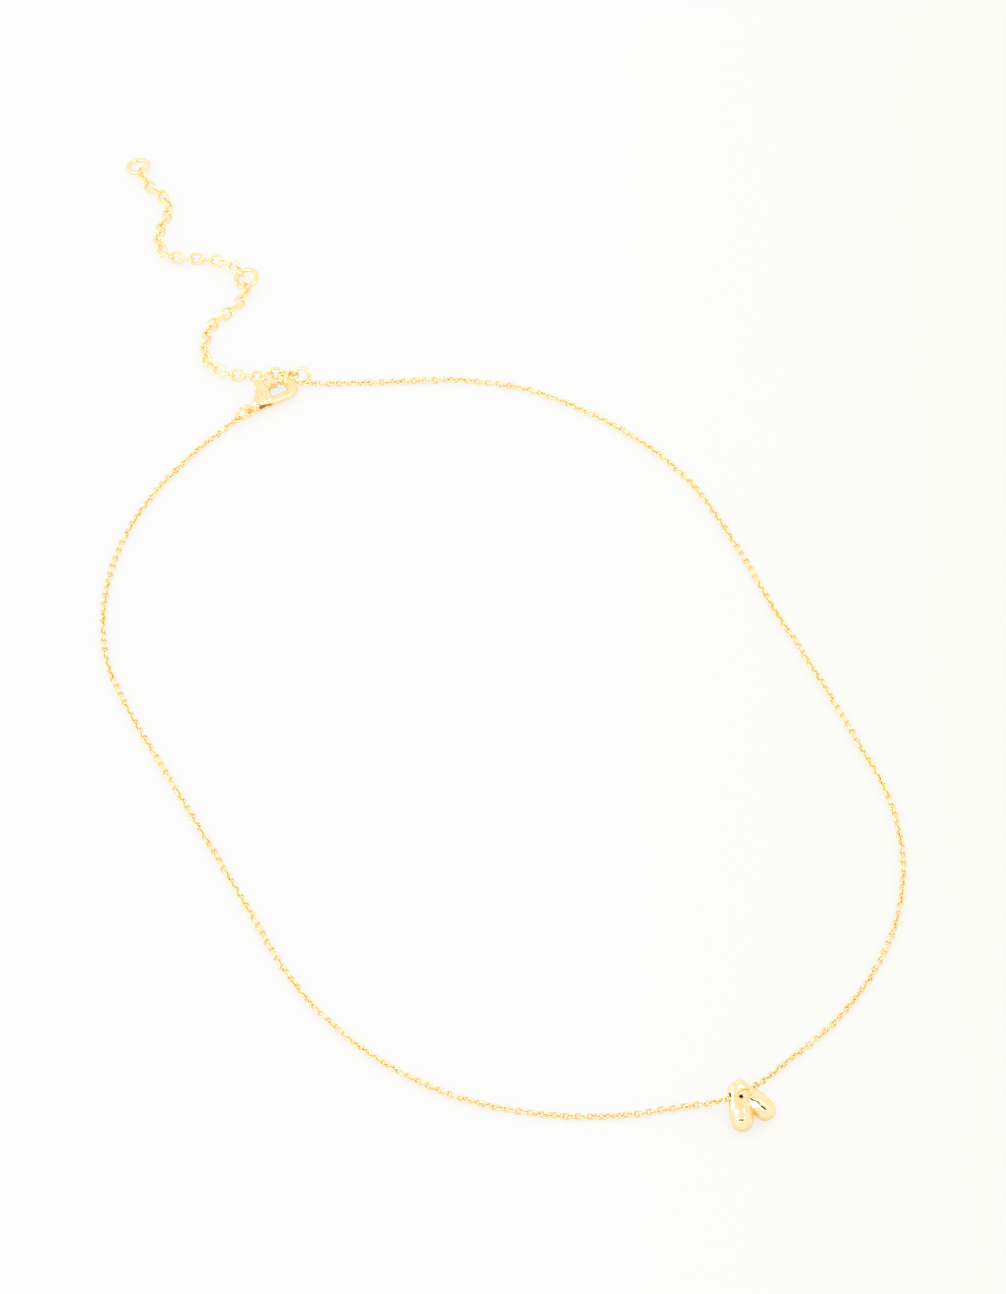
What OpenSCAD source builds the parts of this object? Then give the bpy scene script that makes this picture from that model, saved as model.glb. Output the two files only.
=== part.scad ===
// Initial pendant necklace laid out flat: a fine chain, a puffed letter, a lobster clasp and an extender.
// Millimetres. +Z is up from the table, and +Y runs from the letter to the clasp and the extender.

/* [Fine chain] */
// Width of the fine chain across its flats
chain_w = 0.8; // [0.7:0.05:0.8]

/* [Extender] */
// Wire of the extender's links
link_wire = 0.37; // [0.34:0.01:0.37]
// Length of a link over its wire
link_len = 2.45; // [2.43:0.01:2.45]
// Width of a link over its wire
link_wid = 1.9; // [1.86:0.02:1.9]

/* [Rings] */
// Wire of the two jump rings
jump_wire = 0.5; // [0.4:0.05:0.5]
// Wire of the extender's two large rings
ring_wire = 0.65; // [0.5:0.05:0.65]

/* [Letter] */
// Radius of the ball at the letter's apex
apex_r = 1.47; // [1.46:0.01:1.5]
// Radius of the two balls that it stands on
foot_r = 1.57; // [1.56:0.01:1.58]
// Radius of a leg where it leaves the apex
thigh_r = 1.4; // [1.38:0.01:1.42]
// Radius of a leg where it is thickest
calf_r = 1.66; // [1.6:0.01:1.68]
// Bore that the chain runs through
bore_d = 1.2; // [1.1:0.05:1.25]

/* [Clasp] */
// Pin that the lever turns on
pin_d = 0.7; // [0.6:0.02:0.7]
// Bore of the lever
lever_bore_d = 0.8; // [0.8:0.01:0.84]
// Thickness of the lever between the cheeks
lever_t = 0.86; // [0.8:0.02:0.86]

/* [Hidden] */
gold = [0.93, 0.74, 0.38];
$fn = 40;

// Route of the fine chain's left half on the table, from the clasp's jump ring to the letter
left_floor = [[-6.7, 47.5], [-16.5, 44], [-26, 39], [-34.5, 32], [-41, 23.5], [-45.5, 13.5], [-47, 2.5],
              [-47.5, -11], [-48, -25], [-48.5, -38.5], [-49, -51.5], [-47.5, -62.5], [-44, -72.5],
              [-38, -82], [-30, -89.5], [-21, -95], [-12, -98.3]];
// Where that half climbs from the table into the letter's bore
left_rise = [[-10.2, -98.9, 0.42], [-9.1, -99.4, 0.58], [-8.3, -99.95, 0.95], [-7.6, -100.45, 1.5],
             [-7.1, -100.95, 2.05], [-6.65, -101.35, 2.5], [-6.2, -101.55, 2.68]];
// Where the right half leaves the bore and comes down to the table
right_fall = [[-2.4, -101.46, 2.68], [-1.9, -101.3, 2.48], [-0.9, -101, 1.95], [0.3, -100.5, 1.4],
              [1.6, -99.95, 0.85], [3, -99.4, 0.43]];
// Route of the right half on the table, from the letter to the other jump ring
right_floor = [[5, -98.8], [13.5, -96.5], [23.5, -91.5], [32, -84.5], [38.5, -75.5], [42.5, -65], [44, -54],
               [45.5, -40], [46.5, -26], [48, -12], [48.5, 1.5], [46.5, 12], [42, 22.5], [36, 31.5],
               [27.5, 38.5], [17.5, 43.5], [7.4, 48.6]];
// Chain rings in each stretch on the table, and in each short stretch beside the letter
floor_rings = 2;
rise_rings = 1;
// Gap between the two halves in the bore
chain_gap = 0.1;

// Letter: slope of its face, turn about the vertical, and its legs between the middles of their balls
letter_pitch = 16;
letter_yaw = 1.5;
leg_len = 4.74;
calf_at = 3.4;
leg_half_angle = 23;
apex = [-4.22, -100.86, foot_r + leg_len * cos(leg_half_angle) * sin(letter_pitch)];
// Bore and counter, as distances down the letter's face from its apex, and heights from its middle plane
bore_down = 0.65;
bore_up = 0.1;
counter_down = 1.45;
counter_r = 0.65;
counter_half = 0.4;
counter_floor = -0.8;
// Length of a cutter that goes right through the letter or the lever
through = 6;

// Clasp: place of the tail eye's centre and turn about the vertical
clasp_at = [-3.87, 47.73, 0];
clasp_turn = 7.6;
clasp_mid = 1;
eye_r = 0.75;
eye_wire = 0.52;
neck_d = 0.9;
housing_points = [[2, 0.35], [3.5, 0.15], [4.05, 2.6]];
housing_r = 1;
// Near side of the clasp, from the housing to the hook
bar_start = [3.4, -0.45];
bar_d = 1.24;
hook_at = [6.95, 0.75];
hook_r = 1.61;
hook_wire = 0.86;
hook_tip = 0.9;
hook_end = 72;
// Slot between the cheeks, and the pin through them
pivot = [3.3, 1.6];
slot_h = 1;
slot_r = 0.9;
slot_reach = 5;
slot_angles = [-50, -15, 20, 55, 90, 125];
pin_len = 1.4;
// Lever, seen from above
hub_d = 1.5;
tab_at = [4.25, 3.6];
tab_r = 0.8;
root_at = [5.75, 2.85];
root_r = 0.6;
web = [[2.7, 2.05], [3.3, 0.9], [4, 1.2], [5.95, 2.3], [5.75, 3.4], [4.6, 4.3], [3.5, 3.85]];
gate_root_r = 0.52;
gate_tip = [6.49, 2.454];
gate_tip_r = 0.42;

// Jump rings and large rings, measured to the middle of their wire
jump_r = 1.25;
ring_r = 1.675;
left_ring_at = [-1.14, 0, 1.51];

// Links at the clasp's nose, in the clasp's frame: place, turn, climb and roll
X = 0;
Y = 1;
Z = 2;
TURN = 3;
CLIMB = 4;
ROLL = 5;
hooked_links = [[8.39, 2.05, 1, 43, 0, 90],
                [8.9, 3.18, 0.74, 121, 4, 4.5],
                [7.98, 4.35, 0.87, 137, 6, -57.5],
                [6.6, 4.91, 0.76, 178, 0, 17],
                [9.54, 2.37, 1.25, -46, 4.5, -5.5]];
right_ring = [10.58, 1.05, 1.4, -56, 6, 58];

// Runs of the extender, as places of the joints between its links
near_route = [[1.25, 53.4, 0.82], [-1, 55.1, 0.8], [-3, 56.5, 0.75], [-4.5, 59, 0.74], [-4.5, 62, 0.74],
              [-3, 64.5, 0.74], [-1, 67, 0.74], [1.5, 68, 0.74], [4.5, 69, 0.74], [7, 70.5, 0.78],
              [8.2, 72.45, 0.82]];
near_links = 18;
near_first_roll = -55;
near_last_roll = 52;
far_route = [[8.6, 74.75, 0.92], [8.8, 76, 0.86], [7.5, 78.5, 0.74], [5.5, 80.5, 0.74], [3, 82, 0.74],
             [0.5, 84, 0.74], [0, 87, 0.74], [1.5, 89.5, 0.74], [3.5, 91.5, 0.74], [5.5, 94, 0.74],
             [5.5, 97, 0.74], [4.6, 100, 0.8], [5.1, 103.4, 0.96]];
far_links = 22;
far_first_roll = 55;
far_last_roll = 62;
side_roll = 45;
run_steps = 8;

// Large rings: centre, the direction in which each dips, and by how much
mid_ring_at = [8.8, 73.5, 1];
mid_ring_dip = 180;
mid_ring_tilt = 16;
end_ring_at = [5.3, 104.6, 0.65];
end_ring_dip = 100;
end_ring_tilt = 11;

function unit(v) = v / norm(v);
function flat(route, z) = [for (p = route) [p[0], p[1], z]];

// Slope of a route at point i: its neighbours' difference over the distance between them
function slope(route, i) =
    let (last = len(route) - 1, a = route[max(i - 1, 0)], b = route[i], c = route[min(i + 1, last)])
    (c - a) / (norm(b - a) + norm(c - b));

// Point at the fraction t of the stretch after point i, on a cubic that keeps both slopes
function along(route, i, t) =
    let (a = route[i], b = route[i + 1], d = norm(b - a))
    a * (2 * t ^ 3 - 3 * t ^ 2 + 1) + slope(route, i) * d * (t ^ 3 - 2 * t ^ 2 + t)
    + b * (3 * t ^ 2 - 2 * t ^ 3) + slope(route, i + 1) * d * (t ^ 3 - t ^ 2);

// Points of a smooth route, with a given number to each stretch
function smooth(route, per) =
    [for (i = [0 : len(route) - 2], k = [0 : per[i] - 1]) along(route, i, k / per[i]), route[len(route) - 1]];

// Tube of 8 sides with a flat below, swept along points
module tube(points, across) {
    sides = 8;
    r = across / 2 / cos(180 / sides);
    count = len(points);
    rings = [for (i = [0 : count - 1])
        let (ahead = unit(points[min(i + 1, count - 1)] - points[max(i - 1, 0)]),
             side = unit(cross(ahead, [0, 0, 1])),
             up = cross(side, ahead))
        for (k = [0 : sides - 1])
            points[i] + r * (cos((k + 0.5) * 360 / sides) * side + sin((k + 0.5) * 360 / sides) * up)];
    skin = [for (i = [0 : count - 2], k = [0 : sides - 1])
        let (a = i * sides + k, b = i * sides + (k + 1) % sides)
        each [[a, b, b + sides], [a, b + sides, a + sides]]];
    caps = [[for (k = [sides - 1 : -1 : 0]) k], [for (k = [0 : sides - 1]) (count - 1) * sides + k]];
    polyhedron(points = rings, faces = concat(skin, caps), convexity = 10);
}

// Place of a distance down the letter's face, across it and above it
function letter_point(down, across, up) =
    let (cp = cos(letter_pitch), sp = sin(letter_pitch), cy = cos(letter_yaw), sy = sin(letter_yaw))
    apex + down * [sy * cp, -cy * cp, -sp] + across * [cy, sy, 0] + up * [sy * sp, -cy * sp, cp];

bore_left = letter_point(bore_down, -chain_gap / 2, bore_up);
bore_right = letter_point(bore_down, chain_gap / 2, bore_up);
floor_z = chain_w / 2;

module chain_left() {
    route = concat(flat(left_floor, floor_z), left_rise, [bore_left]);
    per = [for (i = [0 : len(route) - 2]) i < len(left_floor) - 1 ? floor_rings : rise_rings];
    color(gold) tube(smooth(route, per), chain_w);
}

module chain_right() {
    route = concat([bore_right], right_fall, flat(right_floor, floor_z));
    per = [for (i = [0 : len(route) - 2]) i > len(right_fall) ? floor_rings : rise_rings];
    color(gold) tube(smooth(route, per), chain_w);
}

// Leg turned about its length, with its foot ball and, where asked, the apex ball at the near end
module leg(with_apex) {
    reach = leg_len + 2 * foot_r;
    rotate_extrude() intersection() {
        union() {
            if (with_apex) circle(r = apex_r);
            translate([0, leg_len]) circle(r = foot_r);
            polygon([[0, 0], [thigh_r, 0], [calf_r, calf_at], [foot_r, leg_len], [0, leg_len]]);
        }
        translate([0, -reach]) square([reach, 2 * reach]);
    }
}

// Letter drawn with its apex at the origin, its legs along -Y and its face up, then laid in its place
module letter_place() {
    translate(apex) rotate([0, 0, letter_yaw]) rotate([letter_pitch, 0, 0]) children();
}

module pendant() {
    color(gold) letter_place() difference() {
        for (s = [-1, 1]) rotate([90, 0, s * leg_half_angle]) leg(s == 1);
        translate([0, -bore_down, bore_up]) rotate([0, 90, 0])
            cylinder(h = through, d = bore_d, center = true);
        translate([0, -counter_down, counter_floor]) {
            for (s = [-1, 1]) translate([s * counter_half, 0, 0]) cylinder(h = through, r = counter_r);
            translate([-counter_half, -counter_r, 0]) cube([2 * counter_half, 2 * counter_r, through]);
        }
    }
}

// Closed ring of round wire
module ring(radius, wire) {
    rotate_extrude() translate([radius, 0]) circle(d = wire);
}

// Link of two half rings and two straight sides, lengthwise along X and flat in the XY plane
module cable_link() {
    bend = (link_wid - link_wire) / 2;
    straight = (link_len - link_wid) / 2;
    for (s = [-1, 1]) {
        translate([s * straight, 0, 0]) rotate([0, 0, -90 * s])
            rotate_extrude(angle = 180) translate([bend, 0]) circle(d = link_wire);
        translate([-straight, s * bend, 0]) rotate([0, 90, 0]) cylinder(h = 2 * straight, d = link_wire);
    }
}

// Clasp drawn with its tail eye's centre at the origin and its nose along +X, then laid in its place
module clasp_place() {
    translate(clasp_at) rotate([0, 0, clasp_turn]) children();
}

// Point of the clasp's own frame in the necklace's frame
function clasp_point(p) =
    let (c = cos(clasp_turn), s = sin(clasp_turn))
    clasp_at + [p[0] * c - p[1] * s, p[0] * s + p[1] * c, p[2]];

// Round rod of the clasp between two places at its mid height, with its own radius at each end
module rod(start, start_r, end, end_r) {
    run = end - start;
    translate([start[0], start[1], clasp_mid]) rotate([0, 90, atan2(run[1], run[0])])
        cylinder(h = norm(run), r1 = start_r, r2 = end_r);
}

// Housing of two cheeks, cut out between them where the lever swings
module housing() {
    difference() {
        hull() for (p = housing_points) translate([p[0], p[1], clasp_mid]) sphere(r = housing_r, $fn = 32);
        translate([0, 0, clasp_mid - slot_h / 2]) linear_extrude(slot_h) {
            translate(pivot) circle(r = slot_r);
            polygon(concat([pivot], [for (a = slot_angles) pivot + slot_reach * [cos(a), sin(a)]]));
        }
    }
}

module clasp_body() {
    color(gold) clasp_place() {
        translate([0, 0, clasp_mid]) ring(eye_r, eye_wire);
        rod([eye_r, 0], neck_d / 2, [housing_points[0][0], housing_points[0][1]], neck_d / 2);
        housing();
        rod(bar_start, bar_d / 2, [hook_at[0], hook_at[1] - hook_r], hook_wire / 2);
        translate([hook_at[0], hook_at[1], clasp_mid]) rotate([0, 0, -90])
            rotate_extrude(angle = 90 + hook_end) translate([hook_r, 0]) circle(d = hook_wire);
        translate([hook_at[0] + hook_r * cos(hook_end), hook_at[1] + hook_r * sin(hook_end), clasp_mid])
            sphere(d = hook_tip);
        translate([pivot[0], pivot[1], clasp_mid]) cylinder(h = pin_len, d = pin_d, center = true);
    }
}

// Plate of the lever, seen from above: hub, thumb tab and the root of the gate, joined by a web
module lever_plate() {
    translate(pivot) circle(d = hub_d);
    translate(tab_at) circle(r = tab_r);
    translate(root_at) circle(r = root_r);
    polygon(web);
}

module clasp_lever() {
    color(gold) clasp_place() difference() {
        union() {
            translate([0, 0, clasp_mid - lever_t / 2]) linear_extrude(lever_t) lever_plate();
            translate([root_at[0], root_at[1], clasp_mid]) sphere(r = gate_root_r);
            rod(root_at, gate_root_r, gate_tip, gate_tip_r);
            translate([gate_tip[0], gate_tip[1], clasp_mid]) sphere(r = gate_tip_r);
        }
        translate([pivot[0], pivot[1], clasp_mid]) cylinder(h = through, d = lever_bore_d, center = true);
    }
}

// A link or ring lying at a place, lengthwise along a turn, climbing by an angle and rolled about its length
module laid(at, turn, climb, roll) {
    translate(at) rotate([0, -climb, turn]) rotate([roll, 0, 0]) children();
}

module jump_ring_left() {
    color(gold) laid(clasp_point(left_ring_at), clasp_turn, 0, 90) ring(jump_r, jump_wire);
}

module jump_ring_right() {
    row = right_ring;
    color(gold) laid(clasp_point([row[X], row[Y], row[Z]]), clasp_turn + row[TURN], row[CLIMB], row[ROLL])
        ring(jump_r, jump_wire);
}

// Running length at each of a line's points
function lengths(line) =
    [for (i = 0, d = 0; i < len(line);
          i = i + 1, d = d + (i < len(line) ? norm(line[i] - line[i - 1]) : 0)) d];

// Evenly spaced joints of a run of links along a smooth route
function joints(route, count) =
    let (line = smooth(route, [for (i = [1 : len(route) - 1]) run_steps]),
         run = lengths(line),
         last = len(line) - 1)
    [for (k = [0 : count]) let (d = k * run[last] / count)
        [for (axis = [0 : 2]) lookup(d, [for (i = [0 : last]) [run[i], line[i][axis]]])]];

// Links joined end to end along a route, each rolled the other way from the one before
module run_of_links(route, count, first_roll, last_roll) {
    points = joints(route, count);
    for (k = [0 : count - 1]) {
        run = points[k + 1] - points[k];
        lean = sign(first_roll) * (k % 2 == 0 ? 1 : -1);
        roll = k == 0 ? abs(first_roll) : k == count - 1 ? last_roll : side_roll;
        laid((points[k] + points[k + 1]) / 2, atan2(run[1], run[0]), atan2(run[2], norm([run[0], run[1]])),
             lean * roll) cable_link();
    }
}

module extender_near() {
    color(gold) {
        for (row = hooked_links)
            laid(clasp_point([row[X], row[Y], row[Z]]), clasp_turn + row[TURN], row[CLIMB], row[ROLL])
                cable_link();
        run_of_links(near_route, near_links, near_first_roll, near_last_roll);
    }
}

module mid_ring() {
    color(gold) laid(mid_ring_at, mid_ring_dip, -mid_ring_tilt, 0) ring(ring_r, ring_wire);
}

module extender_far() {
    color(gold) run_of_links(far_route, far_links, far_first_roll, far_last_roll);
}

module end_ring() {
    color(gold) laid(end_ring_at, end_ring_dip, -end_ring_tilt, 0) ring(ring_r, ring_wire);
}

chain_left();
chain_right();
pendant();
jump_ring_left();
jump_ring_right();
clasp_body();
clasp_lever();
extender_near();
mid_ring();
extender_far();
end_ring();
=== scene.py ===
"""Initial pendant necklace laid out flat: fine cable chain, puffed letter, lobster clasp and extender.

Sizes are worked out in millimetres, as in a jeweller's drawing, and turned into metres when a mesh is made.
"""

import logging
import math
from dataclasses import dataclass
from enum import Enum
from typing import Callable, Sequence

import bpy
import numpy as np
from mathutils import Euler, Matrix, Vector


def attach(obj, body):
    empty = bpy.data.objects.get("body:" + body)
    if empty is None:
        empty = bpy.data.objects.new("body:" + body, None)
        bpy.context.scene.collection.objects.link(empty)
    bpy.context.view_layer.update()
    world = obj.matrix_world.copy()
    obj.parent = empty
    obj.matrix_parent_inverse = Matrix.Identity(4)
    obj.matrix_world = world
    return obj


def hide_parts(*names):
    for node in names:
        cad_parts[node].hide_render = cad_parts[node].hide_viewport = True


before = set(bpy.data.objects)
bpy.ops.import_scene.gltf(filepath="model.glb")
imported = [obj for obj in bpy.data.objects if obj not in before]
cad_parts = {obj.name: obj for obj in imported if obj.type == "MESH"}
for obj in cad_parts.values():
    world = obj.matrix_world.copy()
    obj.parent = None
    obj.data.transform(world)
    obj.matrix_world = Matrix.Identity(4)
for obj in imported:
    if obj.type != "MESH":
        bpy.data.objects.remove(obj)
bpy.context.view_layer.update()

log = logging.getLogger("necklace")

MM = 0.001
NECKLACE = "necklace"
LEVER = "lever"
PAINTED_SHADE = "painted_shade"

Array = np.ndarray
Field = Callable[[Array], Array]
Flat = tuple[float, float]
Point = tuple[float, float, float]
Box = tuple[Point, Point]

UP = np.array((0.0, 0.0, 1.0))
WHITE = (1, 1, 1, 1)


class Slot(Enum):
    """Material slots of the record, by name."""

    CHAIN = "gold_chain"
    LETTER = "gold_letter"
    FINDINGS = "gold_findings"


# Shapes as distance fields, in millimetres


def ball(p: Array, centre: Sequence[float], radius: float) -> Array:
    """Distance from points to a ball."""
    return np.linalg.norm(p - np.array(centre), axis=1) - radius


def taper(p: Array, a: Sequence[float], b: Sequence[float], ra: float, rb: float) -> Array:
    """Distance from points to a round bar whose radius changes from one end to the other.

    Args:
        p: Points, one a row.
        a: Middle of the first end.
        b: Middle of the second end.
        ra: Radius at the first end.
        rb: Radius at the second end.

    Returns:
        One distance for each point, below zero inside.
    """
    start, run = np.array(a, float), np.array(b, float) - np.array(a, float)
    along = np.clip((p - start) @ run / (run @ run), 0.0, 1.0)
    return np.linalg.norm(p - start - along[:, None] * run, axis=1) - (ra + (rb - ra) * along)


def hoop(p: Array, centre: Sequence[float], radius: float, wire: float) -> Array:
    """Distance from points to a ring that lies flat, of a wire with that radius."""
    d = p - np.array(centre)
    return np.hypot(np.hypot(d[:, 0], d[:, 1]) - radius, d[:, 2]) - wire


def slab(p: Array, middle: float, half: float) -> Array:
    """Distance from points to a level layer of that half thickness."""
    return np.abs(p[:, 2] - middle) - half


def join(a: Array, b: Array, soft: float) -> Array:
    """Union of two fields with a fillet.

    Args:
        a: First field.
        b: Second field.
        soft: Width over which one runs into the other.

    Returns:
        The joined field.
    """
    h = np.clip(0.5 + 0.5 * (b - a) / soft, 0.0, 1.0)
    return b + (a - b) * h - soft * h * (1.0 - h)


def common(a: Array, b: Array, soft: float) -> Array:
    """Where two fields overlap, with a rounded edge."""
    return -join(-a, -b, soft)


def cut(a: Array, b: Array, soft: float) -> Array:
    """First field less the second one, with a rounded edge."""
    return -join(-a, b, soft)


def engraved(shape: Array, wall: Array, depth: float, soft: float) -> Array:
    """Field with a mark cut into its surface.

    Args:
        shape: Field of the solid.
        wall: Field of the mark, which may go right through the solid.
        depth: How deep the mark is cut.
        soft: How rounded its edges are.

    Returns:
        The marked field.
    """
    return cut(shape, np.maximum(wall, -shape - depth), soft)


# Meshes


@dataclass(frozen=True)
class Caster:
    """Casts a closed mesh from a distance field, a quad to each place where its surface crosses the grid."""

    step: float
    pulls: int = 4
    evenings: int = 3
    evening: float = 0.5
    reach: float = 0.6
    nudge_share: float = 0.2
    least_slope: float = 0.05
    tiny: float = 1e-9
    shade_from: float = 0.3
    shade_span: float = 0.7

    def _slope(self, shape: Field, points: Array) -> Array:
        """Slope of the field at points, one row for each."""
        nudge = self.nudge_share * self.step
        return np.stack(
            [(shape(points + nudge * e) - shape(points - nudge * e)) / (2 * nudge) for e in np.eye(3)], 1)

    def painted_shade(self, shape: Field, points: Array) -> Array:
        """How much other metal closes in over points of the surface, as a share of painted shade.

        Args:
            shape: The distance field.
            points: Points on its surface.

        Returns:
            A share for each point, 0 where the surface is open.
        """
        return np.clip(1 - shape(points + self.reach * self.facing(shape, points)) / self.reach, 0, 1)

    def facing(self, shape: Field, points: Array) -> Array:
        """Unit direction away from the metal at points of the surface, one row for each."""
        slope = self._slope(shape, points)
        return slope / (np.linalg.norm(slope, axis=1, keepdims=True) + self.tiny)

    def shaded(self, shape: Field, points: Array, tilt: Array) -> Array:
        """How far points of the surface face down to the table, as a share of painted shade that stands in
        for their own shadow.

        Args:
            shape: The distance field.
            points: Points on its surface.
            tilt: Direction straight up from the table, in the field's own frame.

        Returns:
            A share for each point, 0 where it faces up.
        """
        return np.clip((self.shade_from - self.facing(shape, points) @ tilt) / self.shade_span, 0, 1)

    def _pulled(self, shape: Field, points: Array) -> Array:
        """Moves points onto the surface along the field's slope.

        Args:
            shape: The distance field.
            points: Points near its surface.

        Returns:
            The points on the surface.
        """
        for _ in range(self.pulls):
            value, slope = shape(points), self._slope(shape, points)
            size = np.maximum((slope ** 2).sum(1), self.least_slope)
            points = points - np.clip(value / size, -self.step, self.step)[:, None] * slope
        return points

    def _evened(self, shape: Field, points: Array, quads: Array) -> Array:
        """Moves each point part of the way to the middle of its neighbours, and back onto the surface.

        Args:
            shape: The distance field.
            points: Points on its surface.
            quads: The four point numbers of each quad.

        Returns:
            The points, more evenly spread.
        """
        total, count = np.zeros_like(points), np.zeros(len(points))
        for k in range(4):
            a, b = quads[:, k], quads[:, (k + 1) % 4]
            np.add.at(total, a, points[b])
            np.add.at(total, b, points[a])
            np.add.at(count, a, 1)
            np.add.at(count, b, 1)
        return self._pulled(shape, (1 - self.evening) * points + self.evening * total / count[:, None])

    @staticmethod
    def _quads(inside: Array, number: Array) -> Array:
        """Quads across every grid line that the surface crosses.

        Args:
            inside: Whether each grid point is inside.
            number: Number of the point in each cell that the surface crosses.

        Returns:
            The four point numbers of each quad, wound so that it faces outward.
        """
        quads = []
        for axis in range(3):
            near = np.take(inside, range(inside.shape[axis] - 1), axis)
            far = np.take(inside, range(1, inside.shape[axis]), axis)
            b, c = (axis + 1) % 3, (axis + 2) % 3
            eb, ec = np.eye(3, dtype=int)[b], np.eye(3, dtype=int)[c]
            for outward in (True, False):
                at = np.argwhere((near & ~far) if outward else (~near & far))
                at = at[(at[:, b] > 0) & (at[:, c] > 0)]
                corners = [at - eb - ec, at - ec, at, at - eb]
                loop = np.stack([number[tuple(q.T)] for q in corners], 1)
                quads.append(loop if outward else loop[:, ::-1])
        return np.concatenate(quads)

    def cast(self, shape: Field, low: Sequence[float], high: Sequence[float]) -> tuple[Array, Array]:
        """Makes the surface's points and quads.

        Args:
            shape: The distance field.
            low: Lowest corner of a box round the shape.
            high: Highest corner.

        Returns:
            Points, and the four point numbers of each quad.
        """
        axes = [np.arange(low[k], high[k] + self.step, self.step) for k in range(3)]
        grid = np.stack(np.meshgrid(*axes, indexing="ij"), -1)
        inside = (shape(grid.reshape(-1, 3)) < 0).reshape(grid.shape[:3])
        cells = tuple(n - 1 for n in inside.shape)
        filled = sum(
            inside[i:i + cells[0], j:j + cells[1], k:k + cells[2]].astype(int)
            for i in (0, 1) for j in (0, 1) for k in (0, 1))
        crossed = (filled > 0) & (filled < 8)
        number = np.full(cells, -1)
        number[crossed] = np.arange(crossed.sum())
        points = np.array(low) + self.step * (np.argwhere(crossed) + 0.5)
        quads = self._quads(inside, number)
        points = self._pulled(shape, points)
        for _ in range(self.evenings):
            points = self._evened(shape, points, quads)
        return points, quads


def piece(name: str, points: Array, faces: Array, painted_shade: Array,
          material: bpy.types.Material) -> bpy.types.Object:
    """Makes a smooth shaded object from points in millimetres.

    Args:
        name: The piece's plain name.
        points: Points, one a row, in the necklace's frame.
        faces: Point numbers of each face, all with the same count.
        painted_shade: How closed in each point is, from 0 to 1, which the finish paints as shade.
        material: Its finish.

    Returns:
        The new object, linked to the scene.
    """
    mesh = bpy.data.meshes.new(name)
    mesh.from_pydata((points * MM).tolist(), [], faces.tolist())
    mesh.update()
    mesh.shade_smooth()
    # Each point's share of painted shade, for the finish to read.
    mesh.attributes.new(PAINTED_SHADE, "FLOAT", "POINT").data.foreach_set("value", painted_shade.astype(np.float32))
    mesh.materials.append(material)
    made = bpy.data.objects.new(name, mesh)
    bpy.context.scene.collection.objects.link(made)
    return made


# Finishes


class Wiring:
    """New node material, which takes nodes with their constants and the wires that feed them."""

    def __init__(self, name: str) -> None:
        """Starts the material with its shader and the object's own coordinates.

        Args:
            name: The material's name.
        """
        self.material = bpy.data.materials.new(name)
        self.material.use_nodes = True
        self.tree = self.material.node_tree
        self.shader = self.tree.nodes["Principled BSDF"]
        self.place = self.add("TexCoord").outputs["Object"]

    def feed(self, node: bpy.types.Node, inputs: dict) -> None:
        """Gives inputs of a node their constants and wires.

        Args:
            node: The node.
            inputs: For each input by name, the output that feeds it or its constant.
        """
        for name, value in inputs.items():
            if isinstance(value, bpy.types.NodeSocket):
                self.tree.links.new(value, node.inputs[name])
            else:
                node.inputs[name].default_value = value

    def add(self, kind: str, **inputs: object) -> bpy.types.Node:
        """Adds a node.

        Args:
            kind: The end of its type's name.
            inputs: For each input by name, with its spaces as underscores, what feeds it or its constant.

        Returns:
            The new node.
        """
        node = self.tree.nodes.new("ShaderNode" + kind)
        self.feed(node, {name.replace("_", " "): value for name, value in inputs.items()})
        return node

    def bumps(self, per_m: float, strength: float, depth_mm: float) -> bpy.types.NodeSocket:
        """Adds fine bumps.

        Args:
            per_m: How many there are to a metre.
            strength: How much they show, from 0 to 1.
            depth_mm: How deep they are.

        Returns:
            The output with the surface's changed direction.
        """
        noise = self.add("TexNoise", Scale=per_m, Vector=self.place).outputs["Fac"]
        return self.add("Bump", Strength=strength, Distance=depth_mm * MM, Height=noise).outputs["Normal"]


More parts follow.
